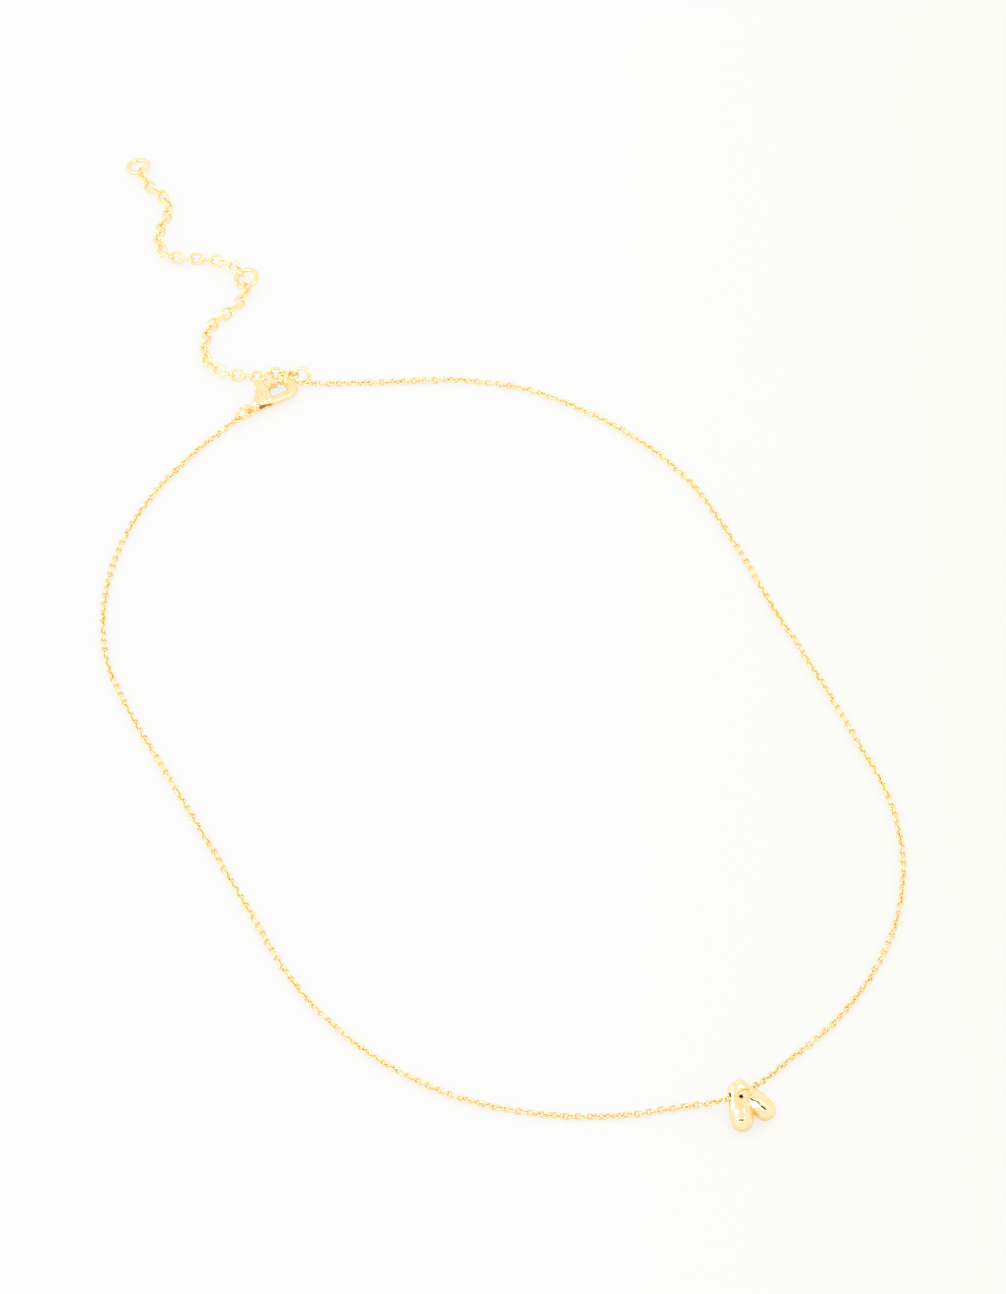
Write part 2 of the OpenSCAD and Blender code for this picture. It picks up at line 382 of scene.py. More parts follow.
@dataclass(frozen=True)
class Gold:
    """Polished gold plate, with soft tone changes, worn polish and fine buffing marks, and painted shade,
    deep orange to near black, where each point's share of it is high.
    """

    name: str
    pale: Point = (0.995, 0.87, 0.545)
    deep: Point = (0.99, 0.80, 0.42)
    # Colours of the painted shade, and the share past which the darker one takes over.
    inner: Point = (0.97, 0.60, 0.19)
    darkest_shade: Point = (0.5, 0.22, 0.03)
    darkest_shade_from: float = 0.8
    tone_at: Flat = (0.3, 0.6)
    smooth: float = 0.07
    worn: float = 0.15
    worn_at: Flat = (0.35, 0.7)
    cloud_mm: float = 1.6
    cloud_detail: float = 3.0
    mark_mm: float = 0.12
    mark_strength: float = 0.05
    mark_depth_mm: float = 0.02

    def material(self) -> bpy.types.Material:
        """Makes the node material.

        Returns:
            A material named after the finish.
        """
        wiring = Wiring(self.name)
        cloud = wiring.add("TexNoise", Scale=1 / (self.cloud_mm * MM), Detail=self.cloud_detail,
                           Vector=wiring.place).outputs["Fac"]
        tone = wiring.add("ValToRGB", Fac=cloud)
        for end, at, colour in zip(tone.color_ramp.elements, self.tone_at, (self.deep, self.pale)):
            end.position = at
            end.color = (*colour, 1)
        # Painted shade: each point's share mixes the tone towards the shade colours.
        closed = wiring.add("Attribute")
        closed.attribute_name = PAINTED_SHADE
        share = closed.outputs["Fac"]
        deepest = wiring.add("MapRange", From_Min=self.darkest_shade_from, Value=share)
        shade = wiring.add("MixRGB", Fac=deepest.outputs["Result"], Color1=(*self.inner, 1),
                           Color2=(*self.darkest_shade, 1))
        blend = wiring.add("MixRGB", Fac=share, Color1=tone.outputs["Color"], Color2=shade.outputs["Color"])
        polish = wiring.add("MapRange", From_Min=self.worn_at[0], From_Max=self.worn_at[1],
                            To_Min=self.smooth, To_Max=self.worn, Value=cloud)
        marks = wiring.bumps(1 / (self.mark_mm * MM), self.mark_strength, self.mark_depth_mm)
        wiring.feed(wiring.shader, {"Metallic": 1.0, "Base Color": blend.outputs["Color"],
                                    "Roughness": polish.outputs["Result"], "Normal": marks})
        return wiring.material


@dataclass(frozen=True)
class Paper:
    """Matt white sheet lit from beneath, which the necklace lies on, a little warmer towards one side."""

    name: str = "white_sheet"
    tone: Point = (0.226, 0.2368, 0.2583)
    warm: Point = (0.206, 0.2188, 0.17)
    lit: float = 0.74
    glow: Point = (1.0, 0.985, 0.955)
    warm_way: Point = (0.875, -0.485, 0.0)
    warm_from_mm: float = 25.0
    warm_to_mm: float = 120.0
    rough: float = 0.9
    specular: float = 0.2
    grain_per_m: float = 900.0
    grain_strength: float = 0.03
    grain_depth_mm: float = 0.1

    def material(self) -> bpy.types.Material:
        """Makes the node material.

        Returns:
            A material with a faint grain and a slow change of tone.
        """
        wiring = Wiring(self.name)
        way = wiring.add("VectorMath", Vector=wiring.place)
        way.operation = "DOT_PRODUCT"
        way.inputs[1].default_value = self.warm_way
        share = wiring.add("MapRange", From_Min=self.warm_from_mm * MM, From_Max=self.warm_to_mm * MM,
                           Value=way.outputs["Value"])
        tone = wiring.add("ValToRGB", Fac=share.outputs["Result"])
        for end, colour in zip(tone.color_ramp.elements, (self.tone, self.warm)):
            end.color = (*colour, 1)
        grain = wiring.bumps(self.grain_per_m, self.grain_strength, self.grain_depth_mm)
        wiring.feed(wiring.shader, {"Base Color": tone.outputs["Color"], "Roughness": self.rough,
                                    "Specular IOR Level": self.specular, "Emission Color": (*self.glow, 1),
                                    "Emission Strength": self.lit, "Normal": grain})
        return wiring.material


# Routes and wire


@dataclass(frozen=True)
class Route:
    """Smooth line through places given in millimetres, as the source of the solids draws it."""

    places: Array
    per: int = 12

    def line(self) -> Array:
        """Points of the smooth line, close together.

        Returns:
            Points, one a row.
        """
        p = np.asarray(self.places, float)
        index, last = np.arange(len(p)), len(p) - 1
        before, after = p[np.maximum(index - 1, 0)], p[np.minimum(index + 1, last)]
        reach = np.linalg.norm(p - before, axis=1) + np.linalg.norm(after - p, axis=1)
        slope = (after - before) / reach[:, None]
        t = np.arange(self.per)[None, :, None] / self.per
        a, b = p[:-1, None], p[1:, None]
        d = np.linalg.norm(b - a, axis=2, keepdims=True)
        bent = (a * (2 * t ** 3 - 3 * t ** 2 + 1) + slope[:-1, None] * d * (t ** 3 - 2 * t ** 2 + t)
                + b * (3 * t ** 2 - 2 * t ** 3) + slope[1:, None] * d * (t ** 3 - t ** 2))
        return np.concatenate([bent.reshape(-1, 3), p[-1:]])

    def spaced(self, count: int) -> Array:
        """Evenly spaced points from end to end.

        Args:
            count: Number of stretches between them.

        Returns:
            One point more than the stretches.
        """
        line = self.line()
        run = np.concatenate([[0.0], np.cumsum(np.linalg.norm(np.diff(line, axis=0), axis=1))])
        at = np.linspace(0.0, run[-1], count + 1)
        return np.stack([np.interp(at, run, line[:, k]) for k in range(3)], 1)

    def length(self) -> float:
        """Length from end to end, in millimetres."""
        return float(np.linalg.norm(np.diff(self.line(), axis=0), axis=1).sum())


@dataclass(frozen=True)
class Link:
    """Oval link of round wire, with sizes over its wire."""

    long: float
    wide: float
    wire: float
    turns: int = 24
    sides: int = 8

    def template(self) -> tuple[Array, Array, Array]:
        """Points and quads of one link, lengthwise along X and flat in the XY plane.

        Returns:
            Points, the four point numbers of each quad, and how far each point faces the link's inside, which
            is painted as shade.
        """
        t = 2 * math.pi * np.arange(self.turns) / self.turns
        a, b = (self.long - self.wire) / 2, (self.wide - self.wire) / 2
        middle = np.stack([a * np.cos(t), b * np.sin(t), 0 * t], 1)
        ahead = np.stack([-a * np.sin(t), b * np.cos(t), 0 * t], 1)
        ahead /= np.linalg.norm(ahead, axis=1, keepdims=True)
        outward = np.stack([ahead[:, 1], -ahead[:, 0], 0 * t], 1)
        s = 2 * math.pi * (np.arange(self.sides) + 0.5) / self.sides
        points = (middle[:, None] + self.wire / 2 * (np.cos(s)[None, :, None] * outward[:, None]
                                                     + np.sin(s)[None, :, None] * UP))
        i, k = np.meshgrid(np.arange(self.turns), np.arange(self.sides), indexing="ij")
        n, m = (i + 1) % self.turns, (k + 1) % self.sides
        quads = np.stack([i * self.sides + k, n * self.sides + k, n * self.sides + m, i * self.sides + m], -1)
        # Painted shade on the side of the wire that faces the link's inside.
        inner = np.tile(np.clip(-np.cos(s), 0, 1), self.turns)
        return points.reshape(-1, 3), quads.reshape(-1, 4), inner


def linked(link: Link, joints: Array, rolls: Array, sizes: Array) -> tuple[Array, Array, Array]:
    """Links joined end to end between joints, each rolled about its length.

    Args:
        link: The link to repeat.
        joints: Places where links meet, one more than the links.
        rolls: Roll of each link in degrees.
        sizes: Size of each link, as a share of the repeated one.

    Returns:
        Points, the four point numbers of each quad, and how far each point faces its link's inside, which is
        painted as shade.
    """
    points, quads, inner = link.template()
    run = np.diff(joints, axis=0)
    ahead = run / np.linalg.norm(run, axis=1, keepdims=True)
    side = np.cross(UP, ahead)
    side /= np.linalg.norm(side, axis=1, keepdims=True)
    up = np.cross(ahead, side)
    c, s = np.cos(np.radians(rolls))[:, None], np.sin(np.radians(rolls))[:, None]
    across, above = c * side + s * up, c * up - s * side
    middle = (joints[:-1] + joints[1:]) / 2
    sized = points[None] * sizes[:, None, None]
    laid = (middle[:, None] + sized[:, :, :1] * ahead[:, None] + sized[:, :, 1:2] * across[:, None]
            + sized[:, :, 2:] * above[:, None])
    shift = len(points) * np.arange(len(run))
    all_quads = (quads[None] + shift[:, None, None]).reshape(-1, 4)
    return laid.reshape(-1, 3), all_quads, np.tile(inner, len(run))


# Sub-assemblies of the necklace


@dataclass
class FineChain:
    """Fine cable chain in two halves, from the clasp's ring through the letter's bore to the other ring."""

    gold: Gold
    link: Link = Link(long=1.45, wide=1.14, wire=0.31)
    pitch: float = 0.83
    roll: float = 45.0
    first_roll: float = 0.0
    first_size: float = 1.22
    size_change: float = 0.02
    size_wave: float = 5.3
    settle: int = 5
    wander: tuple[Flat, ...] = ((36.0, 21.0), (13.0, 8.3), (7.0, 3.7))
    sway_mm: float = 0.05
    sway_wave: float = 2.1
    left_phase: float = 0.4
    right_phase: float = 1.9
    height: float = 0.4
    lifted_below: float = 0.8
    left_hook: tuple[Point, ...] = ((-5.78, 47.46, 0.79), (-6.6, 47.37, 0.7), (-7.9, 47.05, 0.46))
    left_floor: tuple[Flat, ...] = (
        (-16.5, 44), (-26, 39), (-34.5, 32), (-41, 23.5), (-45.5, 13.5), (-47, 2.5), (-47.5, -11), (-48, -25),
        (-48.5, -38.5), (-49, -51.5), (-47.5, -62.5), (-44, -72.5), (-38, -82), (-30, -89.5), (-21, -95),
        (-12, -98.3))
    left_rise: tuple[Point, ...] = (
        (-10.2, -98.9, 0.42), (-9.1, -99.4, 0.58), (-8.3, -99.95, 0.95), (-7.6, -100.45, 1.5),
        (-7.1, -100.95, 2.05), (-6.65, -101.35, 2.5), (-6.2, -101.55, 2.68))
    right_hook: tuple[Point, ...] = ((6.5, 49.35, 0.74), (7.15, 48.81, 0.66), (8.4, 48.15, 0.46))
    right_floor: tuple[Flat, ...] = (
        (17.5, 43.5), (27.5, 38.5), (36, 31.5), (42, 22.5), (46.5, 12), (48.5, 1.5), (48, -12), (46.5, -26),
        (45.5, -40), (44, -54), (42.5, -65), (38.5, -75.5), (32, -84.5), (23.5, -91.5), (13.5, -96.5),
        (5, -98.8))
    right_rise: tuple[Point, ...] = (
        (3, -99.4, 0.43), (1.6, -99.95, 0.85), (0.3, -100.5, 1.4), (-0.9, -101, 1.95), (-1.9, -101.3, 2.48),
        (-2.4, -101.46, 2.68))
    bore: Point = (-4.22, -101.46, 2.68)

    def _half(self, hook: tuple[Point, ...], floor: tuple[Flat, ...], rise: tuple[Point, ...]) -> Route:
        """Route of one half from its ring to the middle of the letter's bore."""
        level = [(x, y, self.height) for x, y in floor]
        return Route(np.array([*hook, *level, *rise, self.bore], float))

    def _rolls(self, count: int, phase: float) -> Array:
        """Roll of each link: every other one a quarter turn on, and all wandering slowly along the chain.

        Args:
            count: Number of links.
            phase: Where the wandering starts, in radians.

        Returns:
            One roll for each link, in degrees.
        """
        index = np.arange(count)
        lean = self.roll + sum(
            size * np.sin(2 * math.pi * index / wave + phase * size) for size, wave in self.wander)
        lean = self.first_roll + (lean - self.first_roll) * np.clip(index / self.settle, 0, 1)
        return np.where(index % 2 == 0, lean, lean - 90.0)

    def _joints(self, route: Route, rolls: Array, phase: float) -> Array:
        """Places where links meet, raised where a link would reach under the table, and swaying a little.

        Args:
            route: The half's route.
            rolls: Roll of each link in degrees.
            phase: Where the swaying starts, in radians.

        Returns:
            One place more than the links.
        """
        joints = route.spaced(len(rolls))
        half_wide, half_wire = (self.link.wide - self.link.wire) / 2, self.link.wire / 2
        lift = np.maximum(half_wide * np.abs(np.sin(np.radians(rolls))) + half_wire - self.height, 0.0)
        joints[1:-1, 2] += np.maximum(lift[:-1], lift[1:]) * (joints[1:-1, 2] < self.lifted_below)
        ahead = joints[2:] - joints[:-2]
        side = np.stack([-ahead[:, 1], ahead[:, 0], 0 * ahead[:, 0]], 1)
        side /= np.linalg.norm(side, axis=1, keepdims=True)
        sway = self.sway_mm * np.sin(self.sway_wave * np.arange(1, len(rolls)) + phase)
        joints[1:-1] += side * sway[:, None]
        return joints

    def build(self) -> list[bpy.types.Object]:
        """Makes both halves.

        Returns:
            The left half and the right half.
        """
        material = self.gold.material()
        left = self._half(self.left_hook, self.left_floor, self.left_rise)
        right = self._half(self.right_hook, self.right_floor, self.right_rise)
        made = []
        for node, route, phase in (("chain_left", left, self.left_phase),
                                   ("chain_right", right, self.right_phase)):
            count = round(route.length() / self.pitch)
            rolls = self._rolls(count, phase)
            joints = self._joints(route, rolls, phase)
            sizes = 1 + self.size_change * np.sin(self.size_wave * np.arange(count))
            sizes[0] = self.first_size
            # The inside of each link carries painted shade.
            points, quads, inner = linked(self.link, joints, rolls, sizes)
            links = piece("fine_" + node, points, quads, inner, material)
            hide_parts(node)
            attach(links, NECKLACE)
            made.append(links)
            log.info("%s: %d links over %.1f mm", links.name, count, route.length())
        return made


@dataclass
class LetterCharm:
    """Puffed letter, cast in one, with a side bore for the chain and a round counter below its apex.

    It is drawn with its apex at the origin and its face up, then pitched, turned and laid in its place.
    """

    gold: Gold
    step: float = 0.068
    evenings: int = 5
    box: Box = ((-3.6, -6.2, -1.8), (3.6, 1.8, 1.8))
    pitch: float = 16.0
    yaw: float = 1.5
    apex_xy: Flat = (-4.22, -100.86)

    apex_r: float = 1.46
    foot_r: float = 1.57
    thigh_r: float = 1.4
    calf_r: float = 1.67
    calf_at: float = 3.4
    leg_len: float = 4.74
    leg_soft: float = 0.15
    half_angle: float = 23.0
    fork_soft: float = 0.1

    facet_way: Point = (0.68, 0.385, 0.623)
    facet_at: float = 1.38
    facet_soft: float = 0.05
    shoulder_way: Point = (-0.23, 0.934, 0.273)
    shoulder_at: float = 1.2
    shoulder_soft: float = 0.3
    ridge_way: Point = (-0.528, -0.158, 0.833)
    ridge_at: float = 1.415
    ridge_soft: float = 0.05
    brow_way: Point = (-0.015, -0.183, 0.983)
    brow_at: float = 1.42
    brow_end: float = -0.75
    brow_soft: float = 0.08

    bore_down: float = 0.65
    bore_up: float = 0.1
    bore_r: float = 0.6
    bore_soft: float = 0.2
    counter_down: float = 1.45
    counter_r: float = 0.65
    counter_half: float = 0.35
    counter_floor: float = 0.92
    floor_soft: float = 0.2
    counter_soft: float = 0.3
    pit_xy: Flat = (-0.45, -1.4)
    pit_r: float = 0.26
    pit_floor: float = -0.3
    pit_soft: float = 0.15

    # Painted shade: its strength in hollows and on faces turned down to the table, and how it fills the pit
    # in the counter.
    closed_shade: float = 0.79
    under_shade: float = 0.79
    pit_shade_fade: float = 0.12
    pit_shade_top: float = 0.85

    def _leg(self, p: Array, side: int) -> Array:
        """Distance to one leg, with the flat along its outside and, on the right one, the ridge.

        Args:
            p: Points, one a row.
            side: -1 for the left leg, 1 for the right one.

        Returns:
            One distance for each point.
        """
        turn = math.radians(side * self.half_angle)
        way = np.array((math.sin(turn), -math.cos(turn), 0))
        calf, foot = self.calf_at * way, self.leg_len * way
        leg = join(taper(p, (0, 0, 0), calf, self.thigh_r, self.calf_r),
                   taper(p, calf, foot, self.calf_r, self.foot_r), self.leg_soft)
        leg = cut(leg, self.facet_at - p @ (np.array(self.facet_way) * (side, 1, 1)), self.facet_soft)
        if side > 0:
            leg = cut(leg, self.ridge_at - p @ np.array(self.ridge_way), self.ridge_soft)
        return leg

    def _field(self, p: Array) -> Array:
        """Distance field of the whole letter.

        Args:
            p: Points, one a row.

        Returns:
            One distance for each point.
        """
        shape = ball(p, (0, 0, 0), self.apex_r)
        for side in (-1, 1):
            shape = join(shape, self._leg(p, side), self.fork_soft)
        shape = cut(shape, self.shoulder_at - p @ np.array(self.shoulder_way), self.shoulder_soft)
        brow = np.maximum(self.brow_at - p @ np.array(self.brow_way), self.brow_end - p[:, 1])
        shape = cut(shape, brow, self.brow_soft)
        bore = np.hypot(p[:, 1] + self.bore_down, p[:, 2] - self.bore_up) - self.bore_r
        shape = cut(shape, bore, self.bore_soft)
        across = np.maximum(np.abs(p[:, 0]) - self.counter_half, 0)
        counter = np.hypot(across, p[:, 1] + self.counter_down) - self.counter_r
        counter = common(counter, self.counter_floor - p[:, 2], self.floor_soft)
        shape = cut(shape, counter, self.counter_soft)
        return cut(shape, self._pit(p), self.pit_soft)

    def _pit(self, p: Array) -> Array:
        """Distance to the deep part of the counter, at its left."""
        ring = np.hypot(p[:, 0] - self.pit_xy[0], p[:, 1] - self.pit_xy[1]) - self.pit_r
        return np.maximum(ring, self.pit_floor - p[:, 2])

    def _shade(self, points: Array, tilt: Array, caster: Caster) -> Array:
        """Painted shade on points of the letter: in hollows, on faces turned down to the table, and most of
        all in the pit.

        Args:
            points: Points on its surface.
            tilt: Direction straight up from the table, in the letter's own frame.
            caster: Caster that measures the field.

        Returns:
            A share for each point, 0 where the surface is open.
        """
        closed = self.closed_shade * caster.painted_shade(self._field, points)
        under = self.under_shade * caster.shaded(self._field, points, tilt)
        pit = np.clip(1 - self._pit(points) / self.pit_shade_fade, 0, 1) * (points[:, 2] < self.pit_shade_top)
        return np.maximum(np.maximum(closed, under), pit)

    def build(self) -> bpy.types.Object:
        """Casts the letter and lays it in its place.

        Returns:
            The letter.
        """
        caster = Caster(self.step, evenings=self.evenings)
        points, quads = caster.cast(self._field, *self.box)
        down = self.leg_len * math.cos(math.radians(self.half_angle))
        rise = self.foot_r + down * math.sin(math.radians(self.pitch))
        turn = np.array(Euler((math.radians(self.pitch), 0, math.radians(self.yaw))).to_matrix())
        placed = points @ turn.T + np.array((*self.apex_xy, rise))
        # Painted shade for the finish: hollows, faces turned down and the pit.
        painted_shade = self._shade(points, turn[2], caster)
        charm = piece("letter_charm", placed, quads, painted_shade, self.gold.material())
        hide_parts("pendant")
        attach(charm, NECKLACE)
        log.info("%s: %d faces", charm.name, len(quads))
        return charm


@dataclass
class LobsterClasp:
    """Lobster clasp: cast body with its eye, cheeks and hook, and the lever that closes it.

    It is drawn with its eye's middle over the origin and its nose along X, then turned and laid in its place.
    """

    gold: Gold
    step: float = 0.07
    body_box: Box = ((-1.3, -1.6, -0.2), (9.3, 3.7, 2.2))
    lever_box: Box = ((2.2, 0.5, 0.3), (7.2, 4.7, 1.7))
    at: Flat = (-3.87, 47.73)
    turn: float = 7.6
    mid: float = 1.0
    pivot: Flat = (3.3, 1.6)

    eye_r: float = 0.75
    eye_wire: float = 0.26
    neck_r: Flat = (0.42, 0.5)
    neck_soft: float = 0.25
    corners: tuple[Flat, Flat, Flat] = ((2.0, 0.35), (3.5, 0.15), (4.05, 2.6))
    filling: tuple[Flat, Flat] = ((2.8, 0.6), (4.0, 1.9))
    cheek_r: float = 1.0
    cheek_soft: float = 0.1
    waist_soft: float = 0.35
    slot_half: float = 0.5
    slot_r: float = 0.9
    slot_from: float = -50.0
    slot_to: float = 125.0
    slot_soft: float = 0.08
    rivet_r: float = 0.42
    rivet_half: float = 1.02
    rivet_soft: float = 0.06

    shank_at: Flat = (3.4, -0.45)
    shank_r: float = 0.62
    shank_over: float = 0.03
    shank_soft: float = 0.2
    rail_at: Flat = (4.2, -0.1)
    rail_r: float = 0.5
    rail_soft: float = 0.15
    hook_at: Flat = (6.95, 0.75)
    hook_r: float = 1.61
    hook_wire: float = 0.43
    hook_out: float = 0.1
    hook_in: float = 0.7
    hook_in_end: float = 45.0
    hook_start: float = -90.0
    hook_end: float = 72.0
    hook_soft: float = 0.08
    nose_over: float = 0.02
    nose_taller: float = 0.4
    taller_from: float = 15.0
    taller_over: float = 30.0
    past_end: float = 1.0

    groove: Box = ((1.75, -0.55, 1.3), (3.6, -1.08, 1.33))
    groove_r: Flat = (0.3, 0.1)
    groove_soft: float = 0.06
    mark_at: Flat = (2.7, 0.45)
    mark_r: float = 0.7
    mark_half: float = 0.05
    mark_depth: float = 0.1
    mark_soft: float = 0.05

    hub_r: float = 0.75
    hub_rise: float = 0.001
    arm_at: Flat = (3.6, 1.6)
    arm_r: Flat = (0.6, 0.5)
    lean_at: Flat = (3.6, 2.0)
    lean_r: Flat = (0.75, 0.78)
    tab_at: Flat = (4.25, 3.6)
    tab_r: float = 0.8
    tab_soft: float = 0.1
    web_soft: float = 0.3
    lever_half: float = 0.43
    lever_soft: float = 0.2
    root_at: Flat = (5.75, 2.85)
    tip_at: Flat = (6.49, 2.454)
    gate_r: Flat = (0.53, 0.42)
    gate_half: float = 0.62
    gate_soft: float = 0.25
    root_soft: float = 0.15
    lever_bore_r: float = 0.4

    # Painted shade: on faces turned down to the table, in hollows, on the nose's and the gate's walls that
    # face the opening, and in the groove.
    under_shade: float = 0.5
    body_shade_share: float = 0.8
    nose_wall_shade: float = 0.6
    nose_from: Flat = (6.4, 1.2)
    nose_fade: Flat = (0.3, 0.4)
    groove_shade_fade: float = 0.08
    wall_gain: float = 1.4
    gate_wall_shade: float = 0.9
    gate_full: float = 1.05
    gate_fade: float = 0.3
    gate_from: float = 5.0

    def _placed(self, points: Array) -> Array:
        """Turns points of the clasp's own frame into the necklace's.

        Args:
            points: Points, one a row.

        Returns:
            The same points as the clasp lies.
        """
        c, s = math.cos(math.radians(self.turn)), math.sin(math.radians(self.turn))
        x, y, z = points.T
        return np.stack([self.at[0] + c * x - s * y, self.at[1] + s * x + c * y, z], 1)

    def _bar(self, p: Array, a: Flat, b: Flat, ra: float, rb: float) -> Array:
        """Distance to a round bar at the clasp's middle height, from one place to another."""
        return taper(p, (*a, self.mid), (*b, self.mid), ra, rb)

    def _from_pivot(self, p: Array) -> Array:
        """Distance from the lever's axis."""
        return np.hypot(p[:, 0] - self.pivot[0], p[:, 1] - self.pivot[1])

    def _cheeks(self, p: Array) -> Array:
        """Distance to the three-cornered housing, with the slot that the lever turns in.

        Args:
            p: Points, one a row.

        Returns:
            One distance for each point.
        """
        first, second, third = self.corners
        shape = self._bar(p, first, second, self.cheek_r, self.cheek_r)
        for a, b in ((second, third), (third, first), self.filling):
            shape = join(shape, self._bar(p, a, b, self.cheek_r, self.cheek_r), self.cheek_soft)
        angle = np.degrees(np.arctan2(p[:, 1] - self.pivot[1], p[:, 0] - self.pivot[0]))
        reach = self._from_pivot(p)
        middle, spread = (self.slot_from + self.slot_to) / 2, (self.slot_to - self.slot_from) / 2
        wedge = reach * np.sin(np.radians(np.clip(np.abs(angle - middle) - spread, -90, 90)))
        slot = np.maximum(np.minimum(wedge, reach - self.slot_r), slab(p, self.mid, self.slot_half))
        return cut(shape, slot, self.slot_soft)

    def _shank(self, p: Array) -> Array:
        """Distance to the bar between the cheeks and the hook, with the rail along its inside.

        Args:
            p: Points, one a row.

        Returns:
            One distance for each point.
        """
        x, y = self.hook_at[0], self.hook_at[1] - self.hook_r
        bar = self._bar(p, self.shank_at, (x, y), self.shank_r, self.hook_wire + self.shank_over)
        rail = self._bar(p, self.rail_at, (x, y + self.hook_in), self.rail_r, self.hook_wire)
        return join(bar, rail, self.rail_soft)

    def _hook(self, p: Array) -> Array:
        """Distance to the hook, thick at its root and taller towards its nose.

        Args:
            p: Points, one a row.

        Returns:
            One distance for each point.
        """
        d = p - np.array((*self.hook_at, self.mid))
        way_round = np.degrees(np.arctan2(d[:, 1], d[:, 0]))
        off = np.hypot(d[:, 0], d[:, 1]) - self.hook_r
        inward = self.hook_in * np.clip((self.hook_in_end - way_round) / self.hook_in_end, 0, 1)
        extra = np.where(off > 0, self.hook_out, inward)
        off = off * self.hook_wire / (self.hook_wire + extra)
        tall = 1 + self.nose_taller * np.clip((way_round - self.taller_from) / self.taller_over, 0, 1)
        arc = np.hypot(off, d[:, 2] / tall) - self.hook_wire
        beyond = (way_round > self.hook_end) | (way_round < self.hook_start)
        end = math.radians(self.hook_end)
        tip = np.array((*self.hook_at, self.mid)) + self.hook_r * np.array((math.cos(end), math.sin(end), 0))
        squash = np.array((1, 1, 1 + self.nose_taller))
        nose = ball((p - tip) / squash, (0, 0, 0), self.hook_wire + self.nose_over)
        return np.minimum(np.where(beyond, self.past_end, arc), nose)

    def _body(self, p: Array) -> Array:
        """Distance field of the body.

        Args:
            p: Points, one a row, in the clasp's own frame.

        Returns:
            One distance for each point.
        """
        neck = self._bar(p, (self.eye_r, 0), self.corners[0], *self.neck_r)
        shape = join(hoop(p, (0, 0, self.mid), self.eye_r, self.eye_wire), neck, self.neck_soft)
        shape = join(shape, self._cheeks(p), self.waist_soft)
        shape = join(shape, self._shank(p), self.shank_soft)
        shape = join(shape, self._hook(p), self.hook_soft)
        shape = cut(shape, taper(p, *self.groove, *self.groove_r), self.groove_soft)
        ring = np.hypot(p[:, 0] - self.mark_at[0], p[:, 1] - self.mark_at[1])
        wall = np.maximum(np.abs(ring - self.mark_r) - self.mark_half, self.mid - p[:, 2])
        shape = engraved(shape, wall, self.mark_depth, self.mark_soft)
        rivet = np.maximum(self._from_pivot(p) - self.rivet_r, slab(p, self.mid, self.rivet_half))
        return join(shape, rivet, self.rivet_soft)

    def _lever(self, p: Array) -> Array:
        """Distance field of the lever, with its bore.

        Args:
            p: Points, one a row, in the clasp's own frame.

        Returns:
            One distance for each point.
        """
        top = (*self.pivot, self.mid + self.hub_rise)
        hub = taper(p, (*self.pivot, self.mid), top, self.hub_r, self.hub_r)
        arm = self._bar(p, self.arm_at, self.root_at, *self.arm_r)
        lean = self._bar(p, self.lean_at, self.tab_at, *self.lean_r)
        tab = ball(p, (*self.tab_at, self.mid), self.tab_r)
        shape = join(join(hub, arm, self.web_soft), join(lean, tab, self.tab_soft), self.web_soft)
        shape = common(shape, slab(p, self.mid, self.lever_half), self.lever_soft)
        gate = taper(p * (1, 1, 0), (*self.root_at, 0), (*self.tip_at, 0), *self.gate_r)
        gate = common(gate, slab(p, self.mid, self.gate_half), self.gate_soft)
        shape = join(shape, gate, self.root_soft)
        return np.maximum(shape, self.lever_bore_r - self._from_pivot(p))

    def _shade(self, shape: Field, points: Array, caster: Caster) -> Array:
        """Painted shade on points of a part, in hollows and on faces turned down to the table.

        Args:
            shape: The part's distance field.
            points: Points on its surface.
            caster: Caster that measures the field.

        Returns:
            A share for each point, 0 where the surface is open.
        """
        under = self.under_shade * caster.shaded(shape, points, UP)
        return np.maximum(caster.painted_shade(shape, points), under)

    def _walls(self, shape: Field, points: Array, caster: Caster) -> Array:
        """How far points of a part face the clasp's opening, from 0 to 1, for painted shade on those walls.
        """
        return np.clip(-self.wall_gain * caster.facing(shape, points)[:, 1], 0, 1)

    def _body_shade(self, points: Array, caster: Caster) -> Array:
        """Painted shade on points of the body: in hollows, in its groove and on the nose's wall towards the
        opening.

        Args:
            points: Points on its surface.
            caster: Caster that measures the field.

        Returns:
            A share for each point, 0 where the surface is open.
        """
        painted_shade = self.body_shade_share * self._shade(self._body, points, caster)
        nose = np.clip((points[:, 0] - self.nose_from[0]) / self.nose_fade[0], 0, 1)
        nose = nose * np.clip((points[:, 1] - self.nose_from[1]) / self.nose_fade[1], 0, 1)
        nose = nose * self._walls(self._body, points, caster)
        groove = np.clip(1 - taper(points, *self.groove, *self.groove_r) / self.groove_shade_fade, 0, 1)
        return np.maximum(np.maximum(painted_shade, self.nose_wall_shade * nose), groove)

    def _lever_shade(self, points: Array, caster: Caster) -> Array:
        """Painted shade on points of the lever: in hollows and on the gate's wall towards the opening.

        Args:
            points: Points on its surface.
            caster: Caster that measures the field.

        Returns:
            A share for each point, 0 where the surface is open.
        """
        painted_shade = self._shade(self._lever, points, caster)
        wall = self._walls(self._lever, points, caster)
        along = np.maximum(points[:, 0] - self.gate_from, 0)
        fade = np.clip(self.gate_full - self.gate_fade * along, 0, 1)
        return np.maximum(painted_shade, self.gate_wall_shade * wall * fade)

